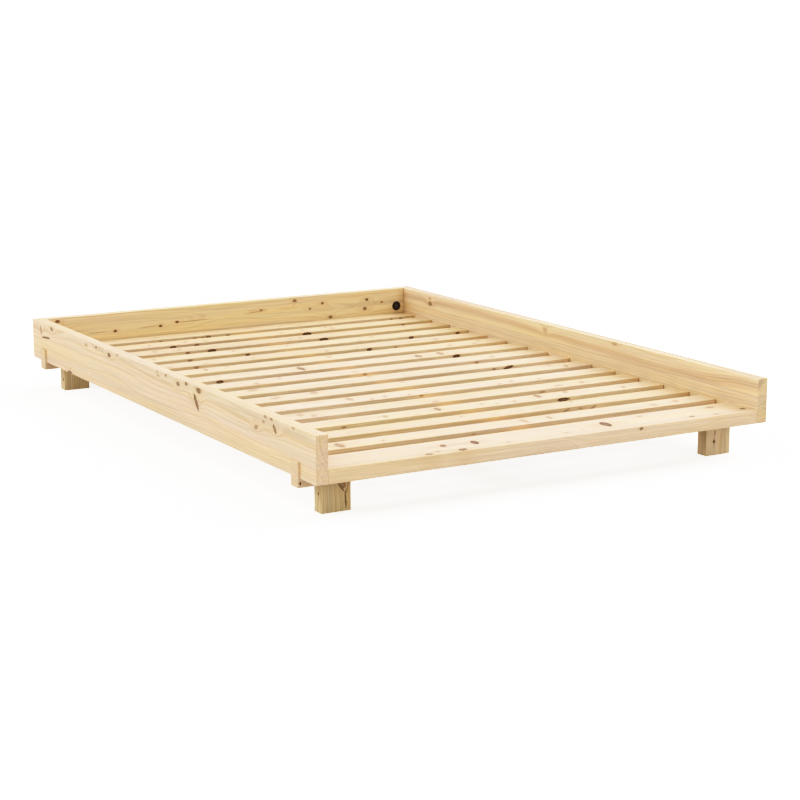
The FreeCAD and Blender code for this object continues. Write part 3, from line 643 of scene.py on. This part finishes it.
def steel(name, colour, tint, rough, scratch):
    """Plated steel: cloudy plating, fine drawn lines and a few rubs."""
    material, n, shader = new_material(name)
    spot = n.add("ShaderNodeTexCoord").outputs["Object"]
    cloud = n.noise(spot, 160.0, 3.0, 0.6)
    grainy = n.noise(spot, 2600.0, 2.0, 0.6)
    lines = n.noise(n.stretch(spot, 300.0, 300.0, 5200.0), 1.0, 2.0, 0.5)
    colour = n.mix(n.ease(cloud, 0.35, 0.65), colour, tint)
    colour = n.mix(n.math("MULTIPLY", grainy, 0.25), colour, rgb(0.30, 0.28, 0.25))
    lined = n.math("MULTIPLY_ADD", lines, 0.12, rough)
    n.feed(shader.inputs["Base Color"], colour)
    n.feed(shader.inputs["Roughness"], n.math("MULTIPLY_ADD", cloud, 0.22, lined))
    n.feed(shader.inputs["Normal"], n.bump(n.math("ADD", lines, grainy), scratch, 0.00005))
    shader.inputs["Metallic"].default_value = 1.0
    return material


def black_plastic():
    """Moulded black plastic with a fine spark-eroded texture, and a painted highlight that makes its rounded
    corners paler.
    """
    material, n, shader = new_material("moulded_black")
    where = n.add("ShaderNodeTexCoord")
    spot = where.outputs["Object"]
    corner = n.ease(n.flatness(where.outputs["Normal"]), 0.995, 0.80)
    skin = n.noise(spot, 3200.0, 2.0, 0.55)
    cloud = n.noise(spot, 120.0, 3.0, 0.5)
    colour = n.mix(cloud, rgb(0.060, 0.056, 0.055), rgb(0.088, 0.082, 0.078))
    # painted highlight: the rounded corners are mixed towards a paler grey
    colour = n.mix(n.math("MULTIPLY", corner, 0.35), colour, rgb(0.140, 0.128, 0.118))
    n.feed(shader.inputs["Base Color"], colour)
    n.feed(shader.inputs["Roughness"], n.math("MULTIPLY_ADD", skin, 0.16, 0.38))
    n.feed(shader.inputs["Normal"], n.bump(skin, 0.4, 0.00008))
    return material


def webbing():
    """Woven polyester tape: ribs across, warp threads along, unbleached white."""
    material, n, shader = new_material("woven_tape")
    spot = n.add("ShaderNodeTexCoord").outputs["Object"]
    x, y, _ = n.split(spot)
    thread = 0.0011
    pitch = 2.0 * math.pi / thread
    warp = n.math("SINE", n.math("MULTIPLY", x, pitch))
    weft = n.math("SINE", n.math("MULTIPLY", y, pitch * 0.8))
    weave = n.math("MULTIPLY", warp, weft)
    fluff = n.noise(spot, 1800.0, 3.0, 0.6)
    height = n.math("MULTIPLY_ADD", weave, 0.4, fluff)
    colour = n.mix(n.math("MULTIPLY_ADD", weave, 0.35, 0.5), rgb(0.52, 0.49, 0.43), rgb(0.80, 0.78, 0.71))
    colour = n.mix(n.math("MULTIPLY", fluff, 0.3), colour, rgb(0.62, 0.58, 0.50))
    n.feed(shader.inputs["Base Color"], colour)
    n.feed(shader.inputs["Roughness"], n.math("MULTIPLY_ADD", fluff, 0.15, 0.78))
    n.feed(shader.inputs["Normal"], n.bump(height, 0.7, 0.0002))
    return material


def beech():
    """Turned beech with its short dark flecks and pressed flutes."""
    material, n, shader = new_material("turned_beech")
    spot = n.add("ShaderNodeTexCoord").outputs["Object"]
    grain = n.noise(n.stretch(spot, 500.0, 500.0, 60.0), 1.0, 3.0, 0.6)
    fleck = n.ease(n.noise(n.stretch(spot, 1400.0, 1400.0, 300.0), 1.0, 1.0, 0.5), 0.60, 0.72)
    colour = n.mix(grain, rgb(0.60, 0.36, 0.20), rgb(0.74, 0.50, 0.31))
    colour = n.mix(n.math("MULTIPLY", fleck, 0.5), colour, rgb(0.34, 0.16, 0.08))
    n.feed(shader.inputs["Base Color"], colour)
    n.feed(shader.inputs["Roughness"], n.math("MULTIPLY_ADD", grain, 0.2, 0.5))
    n.feed(shader.inputs["Normal"], n.bump(grain, 0.5, 0.0001))
    return material


SLOT_MATERIALS = {
    "zinc_steel": steel("zinc_plate", rgb(0.60, 0.60, 0.58), rgb(0.66, 0.64, 0.56), 0.24, 0.35),
    "bronzed_steel": steel("bronzed_plate", rgb(0.195, 0.192, 0.192), rgb(0.250, 0.240, 0.232), 0.34, 0.35),
    "black_plastic": black_plastic(),
    "tape_webbing": webbing(),
    "beech_dowel": beech(),
}
for part in frame["record"]["subparts"]:
    if part["material_slot"] in SLOT_MATERIALS:
        dress(part["node"], SLOT_MATERIALS[part["material_slot"]])


# ---------------------------------------------------------------- floor, light and camera

STUDIO = 420.0          # radius of the floor and of the dome, metres
CORNERS = 96            # of each of their circles


def stage_mesh(name, points, faces, material):
    mesh = bpy.data.meshes.new(name)
    mesh.from_pydata(points, [], faces)
    mesh.materials.append(material)
    piece = bpy.data.objects.new(name, mesh)
    bpy.context.scene.collection.objects.link(piece)
    return piece


def plain_material(name, tone, glow):
    material, _, shader = new_material(name)
    shader.inputs["Base Color"].default_value = rgb(*tone)
    shader.inputs["Roughness"].default_value = 0.9
    shader.inputs["Specular IOR Level"].default_value = 0.0
    shader.inputs["Emission Color"].default_value = rgb(1, 1, 1)
    shader.inputs["Emission Strength"].default_value = glow
    return material


def circle(radius, height):
    turns = [2 * math.pi * i / CORNERS for i in range(CORNERS)]
    return [(radius * math.cos(t), radius * math.sin(t), height) for t in turns]


def only_seen(piece):
    """A stage piece that the lens sees and the light passes through."""
    piece.visible_diffuse = False
    piece.visible_glossy = False
    piece.visible_transmission = False
    piece.visible_shadow = False


def make_floor(tone, glow):
    """A white floor that the lens sees, and the same floor under it that reflects the light up."""
    face = [tuple(range(CORNERS))]
    drop = 0.0005       # half a millimetre
    only_seen(stage_mesh("floor", circle(STUDIO, 0.0), face, plain_material("studio_floor", tone, glow)))
    bouncing = plain_material("studio_bounce", tone, 0.0)
    bounce = stage_mesh("floor_bounce", circle(STUDIO, -drop), face, bouncing)
    bounce.visible_camera = False


def make_backdrop(glow):
    """A white dome far behind everything."""
    points = circle(STUDIO, -0.5) + circle(STUDIO, STUDIO * 0.5) + circle(STUDIO * 0.4, STUDIO)
    faces = []
    for ring in (0, CORNERS):
        for i in range(CORNERS):
            j = (i + 1) % CORNERS
            faces.append((ring + i, ring + j, ring + CORNERS + j, ring + CORNERS + i))
    faces.append(tuple(range(2 * CORNERS, 3 * CORNERS)))
    only_seen(stage_mesh("backdrop", points, faces, plain_material("studio_backdrop", (0, 0, 0), glow)))


def make_sun(name, energy, azimuth, elevation, angle, colour):
    """A broad distant softbox. Azimuth 0 shines from -Y and 90 from +X."""
    light = bpy.data.lights.new(name, "SUN")
    light.energy = math.pi * energy
    light.color = colour
    light.angle = math.radians(angle)
    lamp = bpy.data.objects.new(name, light)
    a, e = math.radians(azimuth), math.radians(elevation)
    towards = Vector((math.sin(a) * math.cos(e), -math.cos(a) * math.cos(e), math.sin(e)))
    lamp.rotation_mode = "QUATERNION"
    lamp.rotation_quaternion = towards.to_track_quat("Z", "Y")
    bpy.context.scene.collection.objects.link(lamp)


def make_world(strength, colour):
    world = bpy.data.worlds.new("studio")
    bpy.context.scene.world = world
    world.use_nodes = True
    background = world.node_tree.nodes["Background"]
    background.inputs["Color"].default_value = rgb(*colour)
    background.inputs["Strength"].default_value = strength


CAMERA_PLACE = (-2.991, -5.2784, 1.3436)
CAMERA_TURNS = (30.417, 11.951, 0.055)      # degrees: to the right of +Y, down, and roll
LENS = 88.19                                # millimetres, for a frame 36 mm wide


def make_camera():
    data = bpy.data.cameras.new("camera")
    data.sensor_width = 36.0
    data.lens = LENS
    data.clip_start = 0.05
    data.clip_end = 2000.0
    camera = bpy.data.objects.new("camera", data)
    yaw, pitch, roll = [math.radians(turn) for turn in CAMERA_TURNS]
    ahead = Vector((math.sin(yaw), math.cos(yaw), 0.0))
    right = Vector((math.cos(yaw), -math.sin(yaw), 0.0))
    up = Vector((0.0, 0.0, 1.0))
    look = ahead * math.cos(pitch) - up * math.sin(pitch)
    up = up * math.cos(pitch) + ahead * math.sin(pitch)
    right, up = right * math.cos(roll) + up * math.sin(roll), up * math.cos(roll) - right * math.sin(roll)
    turn = Matrix((right, up, -look)).transposed().to_4x4()
    camera.matrix_world = Matrix.Translation(CAMERA_PLACE) @ turn
    bpy.context.scene.collection.objects.link(camera)
    bpy.context.scene.camera = camera


ALL_CHANNELS = 3        # the curve that red, green and blue share


def film_curve(scene, top=3.0, contrast=1.98):
    """A film curve with a soft toe and shoulder, 1 - exp(-light ** contrast), so bright wood doesn't clip."""
    settings = scene.view_settings
    settings.view_transform = "Standard"
    settings.use_curve_mapping = True
    mapping = settings.curve_mapping
    mapping.white_level = (top, top, top)
    curve = mapping.curves[ALL_CHANNELS]
    stops = [0.0, 0.1, 0.2, 0.32, 0.45, 0.6, 0.75, 0.9, 1.05, 1.2, 1.4, 1.65, 2.0, 2.4, top]
    while len(curve.points) < len(stops):
        curve.points.new(0.5, 0.5)
    for point, light in zip(curve.points, stops):
        point.location = (light / top, 1.0 - math.exp(-light ** contrast))
        point.handle_type = "AUTO_CLAMPED"
    mapping.update()


WHITE = (1.01, 0.995, 1.0)
WARM = (1.005, 1.003, 0.905)
ROSE = (1.03, 0.98, 1.13)
FLOOR_TONE = (0.645, 0.640, 0.600)
FLOOR_GLOW = 1.1
BACKDROP_GLOW = 3.0
SKY_STRENGTH = 0.68
SOFT_LIGHTS = (
    # name, strength, azimuth, elevation, width in degrees, colour
    ("key_right", 0.90, 90, 45, 50, ROSE),
    ("rear_left", 0.52, -135, 45, 50, WHITE),
    ("low_left", 0.52, -90, 15, 50, WHITE),
    ("low_front", 0.275, 0, 15, 50, WARM),
    ("front_left", 0.18, -45, 45, 50, WARM),
    ("rear_right", 0.17, 135, 45, 50, ROSE),
    ("front_right", 0.20, 35, 45, 50, WARM),
)
make_floor(FLOOR_TONE, FLOOR_GLOW)
make_backdrop(BACKDROP_GLOW)
make_world(SKY_STRENGTH, WHITE)
for light in SOFT_LIGHTS:
    make_sun(*light)
make_camera()
film_curve(bpy.context.scene)
